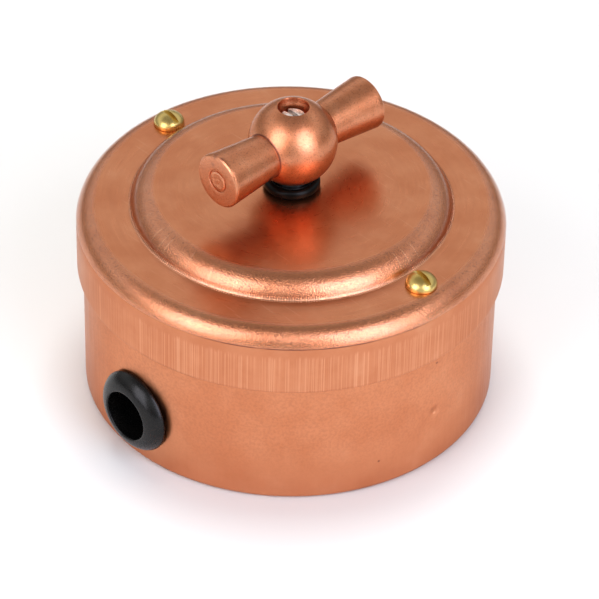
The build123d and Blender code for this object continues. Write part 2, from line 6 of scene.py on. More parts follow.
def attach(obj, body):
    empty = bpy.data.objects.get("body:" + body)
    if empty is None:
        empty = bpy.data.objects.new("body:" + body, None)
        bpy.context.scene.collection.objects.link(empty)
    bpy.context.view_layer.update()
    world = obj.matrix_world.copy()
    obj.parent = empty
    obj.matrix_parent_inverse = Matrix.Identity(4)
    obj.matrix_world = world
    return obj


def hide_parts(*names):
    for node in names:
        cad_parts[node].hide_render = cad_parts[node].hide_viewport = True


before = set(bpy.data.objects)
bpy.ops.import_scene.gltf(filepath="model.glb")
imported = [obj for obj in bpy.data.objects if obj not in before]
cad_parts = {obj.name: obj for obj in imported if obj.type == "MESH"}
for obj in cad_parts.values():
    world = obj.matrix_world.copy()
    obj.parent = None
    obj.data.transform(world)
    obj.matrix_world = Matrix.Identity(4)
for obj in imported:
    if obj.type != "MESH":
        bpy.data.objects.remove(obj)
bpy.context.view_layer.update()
mm = 0.001
print("frame loaded with", len(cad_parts), "nodes")


# selecting and shaping, with all lengths in millimetres

shaping = {
    "mergeRings": 0.002,
    "mergePoints": 0.001,
    "drillSegments": 96,
    "softenSteps": 2,
    "smoothAngle": 32,
}


def selectOnly(item):
    bpy.ops.object.select_all(action="DESELECT")
    item.select_set(True)
    bpy.context.view_layer.objects.active = item


def rename(piece, name):
    piece.name = name
    piece.data.name = name


def applyPlace():
    bpy.ops.object.transform_apply(location=True, rotation=True, scale=True)


def arcRun(center, radii, startTurn, endTurn, steps):
    run = []  # points of a rounded edge, turns in degrees from straight outwards
    for step in range(steps + 1):
        turn = math.radians(startTurn + (endTurn - startTurn) * step / steps)
        run.append((center[0] + radii[0] * math.cos(turn), center[1] + radii[1] * math.sin(turn)))
    return run


def cornerRun(center, radius, startTurn, endTurn, steps):
    return arcRun(center, (radius, radius), startTurn, endTurn, steps)


def straightRun(start, end, steps):
    run = []  # points along a straight wall, without its start
    for step in range(1, steps + 1):
        part = step / steps
        run.append((start[0] + (end[0] - start[0]) * part, start[1] + (end[1] - start[1]) * part))
    return run


def bowRun(start, middle, end, steps):
    run = []  # points of a bowed edge that goes through three places, without its start
    for step in range(1, steps + 1):
        part = step / steps
        pull = 4 * part * (1 - part)  # 1 half way and 0 at both ends
        point = []
        for first, between, last in zip(start, middle, end):
            point.append(first + (last - first) * part + pull * (between - (first + last) / 2))
        run.append(tuple(point))
    return run


def turnOutline(name, outline, segments):
    # a circle at the outline's first point, extruded ring by ring through the others
    bpy.ops.object.select_all(action="DESELECT")
    radius, height = outline[0]
    bpy.ops.mesh.primitive_circle_add(vertices=segments, radius=radius * mm, location=(0, 0, height * mm))
    piece = bpy.context.object
    rename(piece, name)
    applyPlace()
    bpy.ops.object.mode_set(mode="EDIT")
    bpy.ops.mesh.select_all(action="SELECT")
    for nextRadius, nextHeight in outline[1:]:
        rise = (0, 0, (nextHeight - height) * mm)
        bpy.ops.mesh.extrude_region_move(TRANSFORM_OT_translate={"value": rise})
        grow = nextRadius / radius
        bpy.ops.transform.resize(value=(grow, grow, 1), center_override=(0, 0, 0))
        radius, height = nextRadius, nextHeight
    bpy.ops.mesh.select_all(action="SELECT")
    bpy.ops.mesh.remove_doubles(threshold=shaping["mergeRings"] * mm)
    bpy.ops.mesh.fill_holes(sides=0)  # flat ends of a solid piece
    bpy.ops.mesh.select_all(action="SELECT")
    bpy.ops.mesh.normals_make_consistent(inside=False)
    bpy.ops.object.mode_set(mode="OBJECT")
    return piece


def turnAndPlace(piece, turn, place):
    selectOnly(piece)
    piece.rotation_euler = [math.radians(angle) for angle in turn]
    piece.location = [length * mm for length in place]
    applyPlace()


def copyPiece(piece, name):
    selectOnly(piece)
    bpy.ops.object.duplicate(linked=False)
    copy = bpy.context.object
    rename(copy, name)
    return copy


def boxAt(name, size, place):
    bpy.ops.object.select_all(action="DESELECT")
    bpy.ops.mesh.primitive_cube_add(size=1)
    block = bpy.context.object
    rename(block, name)
    block.scale = [length * mm for length in size]
    block.location = [length * mm for length in place]
    applyPlace()
    return block


def combine(piece, other, operation):
    selectOnly(piece)
    step = piece.modifiers.new("combine", "BOOLEAN")
    step.operation = operation
    step.solver = "EXACT"
    step.object = other
    bpy.ops.object.modifier_apply(modifier=step.name)
    bpy.data.objects.remove(other)


def drillHole(piece, radius, reach, turn, place):
    # a rod from one end of its reach to the other, turned and moved, then cut out
    rod = turnOutline("drill", [(radius, reach[0]), (radius, reach[1])], shaping["drillSegments"])
    turnAndPlace(rod, turn, place)
    combine(piece, rod, "DIFFERENCE")


def joinPieces(first, second):
    selectOnly(first)
    second.select_set(True)
    bpy.ops.object.join()


def softenEdges(piece, width, angle):
    selectOnly(piece)
    step = piece.modifiers.new("soften", "BEVEL")
    step.width = width * mm
    step.segments = shaping["softenSteps"]
    step.limit_method = "ANGLE"
    step.angle_limit = math.radians(angle)
    step.use_clamp_overlap = True
    bpy.ops.object.modifier_apply(modifier=step.name)


def finishPiece(piece, node, body, material):
    selectOnly(piece)
    bpy.ops.object.mode_set(mode="EDIT")
    bpy.ops.mesh.select_all(action="SELECT")
    bpy.ops.mesh.remove_doubles(threshold=shaping["mergePoints"] * mm)
    bpy.ops.mesh.normals_make_consistent(inside=False)
    bpy.ops.object.mode_set(mode="OBJECT")
    bpy.ops.object.shade_smooth_by_angle(angle=math.radians(shaping["smoothAngle"]))
    piece.data.materials.clear()
    piece.data.materials.append(material)
    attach(piece, body)
    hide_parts(node)
    print("made", piece.name)


# material parts

def startMaterial(name):
    material = bpy.data.materials.new(name)
    material.use_nodes = True
    tree = material.node_tree
    return material, tree, tree.nodes["Principled BSDF"]


def feed(tree, socket, value):
    if isinstance(value, bpy.types.NodeSocket):
        tree.links.new(value, socket)
    else:
        socket.default_value = value


def reckon(tree, operation, first, second=0.0):
    node = tree.nodes.new("ShaderNodeMath")
    node.operation = operation
    feed(tree, node.inputs[0], first)
    feed(tree, node.inputs[1], second)
    return node.outputs[0]


def plus(tree, first, second):
    return reckon(tree, "ADD", first, second)


def times(tree, first, second):
    return reckon(tree, "MULTIPLY", first, second)


def larger(tree, first, second):
    return reckon(tree, "MAXIMUM", first, second)


def acrossOf(tree, first, second):
    # the distance that two lengths at right angles make
    return reckon(tree, "SQRT", plus(tree, times(tree, first, first), times(tree, second, second)))


def objectPlace(tree):
    # the point's own place in millimetres, whole and along each axis
    coords = tree.nodes.new("ShaderNodeTexCoord")
    grow = tree.nodes.new("ShaderNodeVectorMath")
    grow.operation = "SCALE"
    grow.inputs["Scale"].default_value = 1 / mm
    tree.links.new(coords.outputs["Object"], grow.inputs[0])
    split = tree.nodes.new("ShaderNodeSeparateXYZ")
    tree.links.new(grow.outputs[0], split.inputs[0])
    x, y, z = split.outputs
    return {"point": grow.outputs[0], "x": x, "y": y, "z": z}


def roundPlace(tree):
    # the same with the point's radius and its direction round the spindle
    place = objectPlace(tree)
    leastRadius = 0.01  # so that nothing is divided by zero
    radius = larger(tree, acrossOf(tree, place["x"], place["y"]), leastRadius)
    place["radius"] = radius
    place["east"] = reckon(tree, "DIVIDE", place["x"], radius)
    place["north"] = reckon(tree, "DIVIDE", place["y"], radius)
    return place


def cloud(tree, vector, scale, detail=2.0, rough=0.5):
    node = tree.nodes.new("ShaderNodeTexNoise")
    tree.links.new(vector, node.inputs["Vector"])
    node.inputs["Scale"].default_value = scale
    node.inputs["Detail"].default_value = detail
    node.inputs["Roughness"].default_value = rough
    return node.outputs["Fac"]


def roundCloud(tree, place, around, outwards=0.0, upwards=0.0, detail=3.0, rough=0.5):
    # noise laid out round the spindle with no seam, with its own rates around, outwards and upwards
    grain = tree.nodes.new("ShaderNodeCombineXYZ")
    along = plus(tree, times(tree, place["radius"], outwards), times(tree, place["z"], upwards))
    tree.links.new(times(tree, place["east"], around), grain.inputs["X"])
    tree.links.new(times(tree, place["north"], around), grain.inputs["Y"])
    tree.links.new(along, grain.inputs["Z"])
    return cloud(tree, grain.outputs[0], 1.0, detail, rough)


def spread(tree, value, low, high, toLow=0.0, toHigh=1.0):
    # a soft step: low becomes toLow and high becomes toHigh
    node = tree.nodes.new("ShaderNodeMapRange")
    node.interpolation_type = "SMOOTHSTEP"
    feed(tree, node.inputs["Value"], value)
    node.inputs["From Min"].default_value = low
    node.inputs["From Max"].default_value = high
    node.inputs["To Min"].default_value = toLow
    node.inputs["To Max"].default_value = toHigh
    return node.outputs["Result"]


def overNoise(tree, noise, limits):
    low, high = 0.3, 0.7  # most of a noise lies between these
    return spread(tree, noise, low, high, *limits)


def within(tree, value, low, high, soft):
    rising = spread(tree, value, low - soft, low + soft)
    falling = spread(tree, value, high - soft, high + soft, 1.0, 0.0)
    return times(tree, rising, falling)


def spotAt(tree, place, center, radius):
    node = tree.nodes.new("ShaderNodeVectorMath")
    node.operation = "DISTANCE"
    tree.links.new(place["point"], node.inputs[0])
    node.inputs[1].default_value = center
    return spread(tree, node.outputs["Value"], 0.0, radius, 1.0, 0.0)


def blendColour(tree, amount, first, second):
    # a mix node has its colours at inputs 6 and 7 and output 2
    node = tree.nodes.new("ShaderNodeMix")
    node.data_type = "RGBA"
    feed(tree, node.inputs[0], amount)
    feed(tree, node.inputs[6], first)
    feed(tree, node.inputs[7], second)
    return node.outputs[2]


def relief(tree, height, depth, below=None):
    node = tree.nodes.new("ShaderNodeBump")
    node.inputs["Distance"].default_value = depth * mm
    tree.links.new(height, node.inputs["Height"])
    if below is not None:
        tree.links.new(below, node.inputs["Normal"])
    return node.outputs["Normal"]


# satin copper, shared by lid, base and knob, which add their own marks

copperFinish = {
    "plain": (0.685, 0.258, 0.118, 1),
    "ruddy": (0.63, 0.218, 0.093, 1),
    "pale": (0.82, 0.39, 0.215, 1),
    "dark": (0.20, 0.055, 0.035, 1),
    "grazing": (0.74, 0.53, 0.41, 1),
    "plainFrom": (0.35, 0.62),
    "paleFrom": (0.58, 0.8, 0, 0.4),
    "lacquerRough": 0.22,
}


def startCopper(name):
    material, tree, shader = startMaterial(name)
    shader.inputs["Metallic"].default_value = 1.0
    shader.inputs["Specular Tint"].default_value = copperFinish["grazing"]
    shader.inputs["Coat Roughness"].default_value = copperFinish["lacquerRough"]
    return material, tree, shader


def copperTone(tree, place, patchSize):
    patches = cloud(tree, place["point"], 1 / patchSize, detail=4, rough=0.55)
    plain = spread(tree, patches, *copperFinish["plainFrom"])
    tone = blendColour(tree, plain, copperFinish["ruddy"], copperFinish["plain"])
    return stainAndPaintedLight(tree, tone, "pale", spread(tree, patches, *copperFinish["paleFrom"]))


# blends in a mark's colour, painted shade or painted light
def stainAndPaintedLight(tree, tone, colour, amount):
    return blendColour(tree, amount, tone, copperFinish[colour])


# the other metals, rubber, plastic, resin and porcelain

metalFinish = {
    "screwBrass": {"light": (0.70, 0.52, 0.18, 1), "dark": (0.58, 0.40, 0.11, 1),
                   "rough": (0.27, 0.33), "patchSize": 3.5, "metallic": 1.0},
    "innerBrass": {"light": (0.74, 0.55, 0.27, 1), "dark": (0.50, 0.33, 0.14, 1),
                   "rough": (0.25, 0.40), "patchSize": 2.5, "metallic": 1.0},
    "nickelPlate": {"light": (0.66, 0.63, 0.58, 1), "dark": (0.34, 0.31, 0.27, 1),
                    "rough": (0.2, 0.32), "patchSize": 0.8, "metallic": 0.6},
    "zincSteel": {"light": (0.62, 0.63, 0.65, 1), "dark": (0.43, 0.44, 0.46, 1),
                  "rough": (0.28, 0.45), "patchSize": 2.0, "metallic": 1.0},
    "springSteel": {"light": (0.55, 0.55, 0.57, 1), "dark": (0.36, 0.36, 0.38, 1),
                    "rough": (0.18, 0.30), "patchSize": 1.5, "metallic": 1.0},
}
metalGrain = {"finer": 4, "fineDetail": 2, "lightFrom": (0.3, 0.62), "depth": 0.003}

mouldedFinish = {
    "blackRubber": {"light": (0.004, 0.0035, 0.003, 1), "dark": (0.002, 0.002, 0.002, 1),
                    "rough": (0.22, 0.30), "sheen": 0.28},
    "blackBush": {"light": (0.003, 0.0025, 0.002, 1), "dark": (0.002, 0.002, 0.002, 1),
                  "rough": (0.28, 0.36), "sheen": 0.12},
    "brownResin": {"light": (0.085, 0.040, 0.024, 1), "dark": (0.030, 0.014, 0.010, 1),
                   "rough": (0.22, 0.36), "sheen": 0.5},
    "porcelain": {"light": (0.80, 0.78, 0.73, 1), "dark": (0.68, 0.65, 0.59, 1),
                  "rough": (0.08, 0.2), "sheen": 0.5},
}
mouldedGrain = {"patchScale": 0.45, "fineScale": 3.5, "fineDetail": 3, "lightFrom": (0.35, 0.7),
                "depth": 0.008}


def makePatchy(name, finish, grain, patchScale, fineScale):
    # light and dark patches, with a finer grain for roughness and relief
    material, tree, shader = startMaterial(name)
    point = objectPlace(tree)["point"]
    patches = cloud(tree, point, patchScale, detail=4, rough=0.6)
    fine = cloud(tree, point, fineScale, grain["fineDetail"])
    light = spread(tree, patches, *grain["lightFrom"])
    feed(tree, shader.inputs["Base Color"], blendColour(tree, light, finish["dark"], finish["light"]))
    feed(tree, shader.inputs["Roughness"], overNoise(tree, fine, finish["rough"]))
    feed(tree, shader.inputs["Normal"], relief(tree, fine, grain["depth"]))
    return material, shader


def makeMetal(name):
    finish = metalFinish[name]
    size = finish["patchSize"]
    material, shader = makePatchy(name, finish, metalGrain, 1 / size, metalGrain["finer"] / size)
    shader.inputs["Metallic"].default_value = finish["metallic"]
    return material


def makeMoulded(name):
    finish = mouldedFinish[name]
    scales = mouldedGrain["patchScale"], mouldedGrain["fineScale"]
    material, shader = makePatchy(name, finish, mouldedGrain, *scales)
    shader.inputs["Specular IOR Level"].default_value = finish["sheen"]
    return material


finishes = {name: makeMetal(name) for name in metalFinish}
finishes.update({name: makeMoulded(name) for name in mouldedFinish})
print("shared finishes made:", len(finishes))


# the lid's copper: brushed flats, grainy bends, a striped skirt, its marks, and painted shade and highlights
# a From setting is a measure's low and high, and the amounts there if they aren't 0 and 1
# a Band's last number is how soft its ends are, and an Around is how fast a noise changes round the lid

lidFinish = {
    "patchSize": 7,
    "outside": (37.4, 37.6),
    "skirtTop": (34.2, 34.5),
    "rollInside": (34.0, 35.6),
    "shoulderBand": (24.4, 28.5, 0.5),
    "lacquer": (0.4, 1.0),
    "skirtShade": 0.15,
    "stripeAround": 190,
    "stripeUpwards": 0.02,
    "stripeFrom": (0.46, 0.64),
    "stripeDepth": 0.03,
    "bundleAround": 14,
    "bundleFrom": (0.3, 0.65, 0.25, 1),
    "raggedAround": 40,
    "raggedHigh": 2.0,
    "raggedFrom": (32.9, 33.9, 1, 0),
    "streakPale": 0.55,
    "lineBand": (34.12, 34.42, 0.08),
    # painted shade in the line under the rolled corner, heaviest on the side towards the camera
    "lineShadeSide": (0.805, -0.593),
    "lineShadeFrom": (0.82, 0.93, 0.1, 1),
    "lineShadeAround": 9,
    "lineShadePatches": (0.3, 0.6, 0.35, 0.95),
    "tickCount": 400,
    "tickBand": (28.28, 28.75, 0.09),
    "tickPatchAround": 10,
    "tickPatches": (0.36, 0.48),
    "tickFrom": (-0.2, 0.8),
    "tickDepth": 0.12,
    "gapFrom": (-0.8, -0.1, 0.55, 0),
    # a painted highlight along the crease
    "creaseHighlightBand": (28.25, 28.65, 0.12),
    "creaseHighlightPale": 0.5,
    "scuffTurns": (-115, -104, -99, -96, -84, -1, 3, 8),
    "scuffHalf": 0.0025,
    "scuffSoft": 0.002,
    "scuffFrom": (0.60, 0.68),
    "scuffPatches": (0.5, 0.62),
    "scuffBand": (25.6, 28.3, 0.5),
    "brightPale": 0.9,
    "peelSize": 0.27,
    "peelFrom": (0.54, 0.70, 0, 0.6),
    "peelDepth": 0.085,
    "peelOnFlats": 0.1,
    "scratchTurn": -62,
    "scratchScale": (0.12, 2.6, 1.0),
    "scratchFrom": (0.70, 0.76),
    "scratchPale": 0.35,
    "brushAround": 5,
    "brushOutwards": 4.5,
    "brushDepth": 0.004,
    "roughFlat": (0.27, 0.38),
    "roughBend": 0.22,
    "roughSkirt": 0.36,
}


def lidZones(tree, place):
    look = lidFinish
    outside = spread(tree, place["radius"], *look["outside"])
    skirt = times(tree, outside, spread(tree, place["z"], *look["skirtTop"], 1, 0))
    pastLedge = spread(tree, place["radius"], *look["rollInside"])
    roll = times(tree, pastLedge, spread(tree, place["z"], *look["skirtTop"]))
    bends = larger(tree, roll, within(tree, place["radius"], *look["shoulderBand"]))
    flats = reckon(tree, "SUBTRACT", reckon(tree, "SUBTRACT", 1.0, bends), skirt)
    return outside, skirt, bends, flats


def paintedLineShade(tree, place, outside):
    look = lidFinish
    # painted shade in the line under the rolled corner, heaviest on the side towards the camera
    east, north = look["lineShadeSide"]
    facing = plus(tree, times(tree, place["east"], east), times(tree, place["north"], north))
    uneven = roundCloud(tree, place, look["lineShadeAround"])
    patches = spread(tree, uneven, *look["lineShadePatches"])
    lineShade = times(tree, spread(tree, facing, *look["lineShadeFrom"]), patches)
    return times(tree, times(tree, within(tree, place["z"], *look["lineBand"]), outside), lineShade)


def shoulderScuffs(tree, place, bearing, stripes, bundles):
    look = lidFinish
    patches = spread(tree, bundles, *look["scuffPatches"])
    scuff = times(tree, spread(tree, stripes, *look["scuffFrom"]), patches)
    for turn in look["scuffTurns"]:
        low = math.radians(turn) - look["scuffHalf"]
        high = math.radians(turn) + look["scuffHalf"]
        scuff = larger(tree, scuff, within(tree, bearing, low, high, look["scuffSoft"]))
    return times(tree, scuff, within(tree, place["radius"], *look["scuffBand"]))


def topScratches(tree, place, flats):
    look = lidFinish
    turned = tree.nodes.new("ShaderNodeMapping")
    turned.inputs["Rotation"].default_value = (0, 0, math.radians(look["scratchTurn"]))
    turned.inputs["Scale"].default_value = look["scratchScale"]
    tree.links.new(place["point"], turned.inputs["Vector"])
    scratch = spread(tree, cloud(tree, turned.outputs[0], 1.0, detail=1), *look["scratchFrom"])
    return times(tree, times(tree, scratch, flats), look["scratchPale"])


def makeLidCopper():
    look = lidFinish
    material, tree, shader = startCopper("lidCopper")
    place = roundPlace(tree)
    tone = copperTone(tree, place, look["patchSize"])
    outside, skirt, bends, flats = lidZones(tree, place)
    # skirt: fine upright stripes in bundles, starting raggedly below a plain band
    upwards = look["stripeUpwards"]
    stripes = roundCloud(tree, place, look["stripeAround"], 0, upwards, detail=2, rough=0.6)
    bundles = roundCloud(tree, place, look["bundleAround"])
    ragged = times(tree, roundCloud(tree, place, look["raggedAround"]), look["raggedHigh"])
    striped = times(tree, spread(tree, plus(tree, place["z"], ragged), *look["raggedFrom"]), skirt)
    streak = times(tree, spread(tree, stripes, *look["stripeFrom"]), striped)
    streak = times(tree, streak, spread(tree, bundles, *look["bundleFrom"]))
    # painted shade darkens the whole skirt
    tone = stainAndPaintedLight(tree, tone, "dark", times(tree, skirt, look["skirtShade"]))
    tone = stainAndPaintedLight(tree, tone, "pale", times(tree, streak, look["streakPale"]))
    # painted shade in the line under the rolled corner, in uneven patches, heaviest on the side towards the
    # camera
    tone = stainAndPaintedLight(tree, tone, "dark", paintedLineShade(tree, place, outside))
    # short bright ticks with dark gaps along the crease, a painted highlight along the crease, and scuffs
    # across the shoulder
    bearing = reckon(tree, "ARCTAN2", place["y"], place["x"])
    wave = reckon(tree, "SINE", times(tree, bearing, look["tickCount"]))
    patchy = spread(tree, roundCloud(tree, place, look["tickPatchAround"]), *look["tickPatches"])
    ticked = times(tree, within(tree, place["radius"], *look["tickBand"]), patchy)
    tick = times(tree, spread(tree, wave, *look["tickFrom"]), ticked)
    gap = times(tree, spread(tree, wave, *look["gapFrom"]), ticked)
    tone = stainAndPaintedLight(tree, tone, "dark", gap)
    # painted highlight along the crease
    creaseHighlight = times(tree, within(tree, place["radius"], *look["creaseHighlightBand"]), look["creaseHighlightPale"])
    scuff = shoulderScuffs(tree, place, bearing, stripes, bundles)
    bright = larger(tree, larger(tree, creaseHighlight, scuff), tick)
    tone = stainAndPaintedLight(tree, tone, "pale", times(tree, bright, look["brightPale"]))
    # the sheet's orange peel, with dark grains, shows where it was bent
    peel = cloud(tree, place["point"], 1 / look["peelSize"], detail=2, rough=0.6)
    tone = stainAndPaintedLight(tree, tone, "dark", times(tree, spread(tree, peel, *look["peelFrom"]), bends))
    tone = stainAndPaintedLight(tree, tone, "pale", topScratches(tree, place, flats))
    feed(tree, shader.inputs["Base Color"], tone)
    feed(tree, shader.inputs["Coat Weight"], spread(tree, bends, 0.0, 1.0, *look["lacquer"]))
    # roughness: brushed flats, smoother bends, duller skirt
    brush = roundCloud(tree, place, look["brushAround"], outwards=look["brushOutwards"], rough=0.6)
    rough = times(tree, overNoise(tree, brush, look["roughFlat"]), flats)
    rough = plus(tree, rough, times(tree, bends, look["roughBend"]))
    rough = plus(tree, rough, times(tree, skirt, look["roughSkirt"]))
    feed(tree, shader.inputs["Roughness"], rough)
    normal = relief(tree, times(tree, brush, flats), look["brushDepth"])
    peelHeight = times(tree, peel, plus(tree, bends, look["peelOnFlats"]))
    normal = relief(tree, peelHeight, look["peelDepth"], normal)
    normal = relief(tree, times(tree, stripes, striped), look["stripeDepth"], normal)
    normal = relief(tree, tick, look["tickDepth"], normal)
    feed(tree, shader.inputs["Normal"], normal)
    return material


# lid: one outline of sheet copper, from the skirt's foot over the top and back inside

lid = {
    "radius": 38.0,
    "sheet": 0.8,
    "foot": 24.9,
    "footRound": 0.25,
    "footEase": (0.2, 0.06),
    "lineFrom": 32.75,
    "linePath": ((0.02, 33.35), (0.06, 33.85), (0.13, 34.23), (0.05, 34.35)),  # in from the skirt, height
    "rollFoot": 34.4,
    "rollWide": 3.3,
    "rollHigh": 2.9,
    "rollTurn": 74.0,
    "ledge": 37.3,
    "crease": 28.4,
    "creaseFrom": 0.4,
    "creasePath": ((0.2, 0.04), (0.07, 0.14), (-0.02, 0.28)),  # out from the crease, up from the ledge
    "shoulderWide": 4.3,
    "shoulderTrim": 5,
    "rise": 3.55,
    "hole": 4.2,
    "holeEase": (0.15, 0.04),
    "holeFlare": 0.1,
    "screwOffset": 32.22,
    "screwHole": 1.7,
    "screwDrill": (35.5, 38.0),
    "segments": 288,
}


def lidOutline():
    outer, sheet, foot = lid["radius"], lid["sheet"], lid["foot"]
    ledge, crease, hole = lid["ledge"], lid["crease"], lid["hole"]
    wide, rise = lid["shoulderWide"], lid["rise"]
    inner = outer - sheet
    top = ledge + rise
    underTop = top - sheet
    underLedge = ledge - sheet
    bow = (wide ** 2 + rise ** 2) / (2 * rise)  # the shoulder's radius
    bowMiddle = (crease - wide, top - bow)
    bowEnd = math.degrees(math.asin((bow - rise) / bow))
    rollMiddle = (outer - lid["rollWide"], lid["rollFoot"])
    rollTurn = math.radians(lid["rollTurn"])  # the roll stops short of upright at the line
    rollRadii = (lid["rollWide"] / math.sin(rollTurn), lid["rollHigh"] / (1 - math.cos(rollTurn)))
    underRoll = (lid["rollWide"] - sheet, lid["rollHigh"] - sheet)
    footRound = lid["footRound"]
    footEase, footCut = lid["footEase"]
    holeEase, holeCut = lid["holeEase"]
    run = [(inner, foot + footEase), (inner + footCut, foot + footCut), (inner + footEase, foot)]
    run += cornerRun((outer - footRound, foot + footRound), footRound, -90, 0, steps=4)
    run += straightRun(run[-1], (outer, lid["lineFrom"]), steps=12)
    run += [(outer - inwards, height) for inwards, height in lid["linePath"]]
    run += arcRun((rollMiddle[0], ledge - rollRadii[1]), rollRadii, 90 - lid["rollTurn"], 90, steps=26)
    run += straightRun(run[-1], (crease + lid["creaseFrom"], ledge), steps=6)
    run += [(crease + outwards, ledge + upwards) for outwards, upwards in lid["creasePath"]]
    run += cornerRun(bowMiddle, bow, bowEnd + lid["shoulderTrim"], 90, steps=26)
    run += straightRun(run[-1], (hole + holeEase, top), steps=14)
    run += [(hole + holeCut, top - holeCut), (hole, top - holeEase)]
    run += [(hole, underTop + holeEase), (hole + lid["holeFlare"], underTop)]
    run += straightRun(run[-1], (bowMiddle[0], underTop), steps=6)
    run += cornerRun(bowMiddle, bow - sheet, 90, bowEnd, steps=14)[1:]
    run += [(run[-1][0], underLedge)]
    run += straightRun(run[-1], (rollMiddle[0], underLedge), steps=4)
    run += arcRun(rollMiddle, underRoll, 90, 0, steps=14)[1:]
    run += straightRun(run[-1], (inner, foot + footEase), steps=4)
    return run


lidPiece = turnOutline("lidShell", lidOutline(), lid["segments"])
for side in (-1, 1):
    drillHole(lidPiece, lid["screwHole"], lid["screwDrill"], (0, 0, 0), (side * lid["screwOffset"], 0, 0))
finishPiece(lidPiece, "lid", "case", makeLidCopper())


# the base's copper: a fine mottled grain with painted shade, one dent with a painted highlight, and two dark
# dots

baseFinish = {
    "patchSize": 11,
    "lacquer": 0.4,
    "rough": (0.30, 0.39),
    "grainSize": 0.5,
    "grainDepth": 0.02,
    # mottled speckle with painted shade, and painted light towards the foot
    "speckleAndShade": (0.35, 0.7, 0.055, 0.22),
    "footLightRise": (2.0, 15.0, 0.1, 1.0),
    "drawAround": 40,
    "drawUpwards": 0.06,
    "drawPart": 0.5,
    "swellScale": 0.16,
    "swellDepth": 0.08,
    "dent": (36.9, 0.05, 12.0),
    "dentRadius": 1.6,
    "dentDepth": 0.22,
    "dentHighlight": (36.9, -0.1, 11.7),
    "dentHighlightRadius": 0.5,
    "dots": ((36.9, -0.04, 22.9), (35.0, -11.6, 6.0)),
    "dotRadius": 0.35,
}


def makeBaseCopper():
    look = baseFinish
    material, tree, shader = startCopper("baseCopper")
    shader.inputs["Coat Weight"].default_value = look["lacquer"]
    place = roundPlace(tree)
    tone = copperTone(tree, place, look["patchSize"])
    # mottled speckle and painted shade over the wall, fading towards the foot as painted light from the
    # floor
    grain = cloud(tree, place["point"], 1 / look["grainSize"], detail=3, rough=0.6)
    speckleAndShade = times(tree, spread(tree, grain, *look["speckleAndShade"]), spread(tree, place["z"], *look["footLightRise"]))
    tone = stainAndPaintedLight(tree, tone, "dark", speckleAndShade)
    # a painted highlight beside the dent
    tone = stainAndPaintedLight(tree, tone, "pale", spotAt(tree, place, look["dentHighlight"], look["dentHighlightRadius"]))
    for dot in look["dots"]:
        tone = stainAndPaintedLight(tree, tone, "dark", spotAt(tree, place, dot, look["dotRadius"]))
    feed(tree, shader.inputs["Base Color"], tone)
    # upright marks from drawing, a slow swell in the sheet, and the dent
    drawn = roundCloud(tree, place, look["drawAround"], upwards=look["drawUpwards"], rough=0.6)
    feed(tree, shader.inputs["Roughness"], overNoise(tree, drawn, look["rough"]))
    normal = relief(tree, plus(tree, grain, times(tree, drawn, look["drawPart"])), look["grainDepth"])
    swell = cloud(tree, place["point"], look["swellScale"], detail=1)
    normal = relief(tree, swell, look["swellDepth"], normal)
    dent = reckon(tree, "SUBTRACT", 1.0, spotAt(tree, place, look["dent"], look["dentRadius"]))
    normal = relief(tree, dent, look["dentDepth"], normal)
    feed(tree, shader.inputs["Normal"], normal)
    return material


# base: a drawn cup with the cable hole in its wall and two wall-screw holes in its floor

base = {
    "radius": 36.9,
    "sheet": 0.8,
    "middle": 0.4,
    "corner": 1.2,
    "rim": 34.0,
    "rimRound": 0.2,
    "cableHole": 5.8,
    "cableHeight": 10.35,
    "cableDrill": (34.0, 39.0),
    "wallHole": 2.25,
    "wallHoleOffset": 26.0,
    "wallDrill": (-1.0, 2.0),
    "segments": 288,
}


def baseOutline():
    outer, sheet, middle = base["radius"], base["sheet"], base["middle"]
    corner, edge = base["corner"], base["rimRound"]
    inner = outer - sheet
    insideCorner = corner - sheet
    rimFoot = base["rim"] - edge
    run = [(middle, 0.0)]  # the floor's two small middles are filled flat
    run += straightRun(run[-1], (outer - corner, 0.0), steps=5)
    run += cornerRun((outer - corner, corner), corner, -90, 0, steps=10)[1:]
    run += straightRun(run[-1], (outer, rimFoot), steps=14)
    run += cornerRun((outer - edge, rimFoot), edge, 0, 90, steps=3)[1:]
    run += cornerRun((inner + edge, rimFoot), edge, 90, 180, steps=3)
    run += straightRun(run[-1], (inner, corner), steps=6)
    run += cornerRun((inner - insideCorner, corner), insideCorner, 0, -90, steps=4)[1:]
    run += straightRun(run[-1], (middle, sheet), steps=5)
    return run


basePiece = turnOutline("baseCup", baseOutline(), base["segments"])
drillHole(basePiece, base["cableHole"], base["cableDrill"], (90, 0, 0), (0, 0, base["cableHeight"]))
for side in (-1, 1):
    wallHolePlace = (0, side * base["wallHoleOffset"], 0)
    drillHole(basePiece, base["wallHole"], base["wallDrill"], (0, 0, 0), wallHolePlace)
finishPiece(basePiece, "base_cup", "case", makeBaseCopper())


# grommet: turned round the cable's axis, with heights from the base's wall, then laid over to face out

grommet = {
    "bore": 4.65,
    "lip": 0.3,
    "dome": 2.7,
    "domeMiddle": (6.675, 1.925),
    "flange": 7.7,
    "flangeEdge": 0.45,
    "flangePath": ((0.03, 0.2), (0.15, 0.08), (0.35, 0.05)),  # in from the flange, out from the wall
    "seat": 0.05,
    "neck": 5.75,
    "neckMiddle": -0.75,
    "inside": 6.8,
    "insideTop": -1.496,
    "insideEase": 0.05,
    "insideEnd": -3.096,
    "insideRound": 0.6,
    "boreEase": 0.2,
    "segments": 144,
}


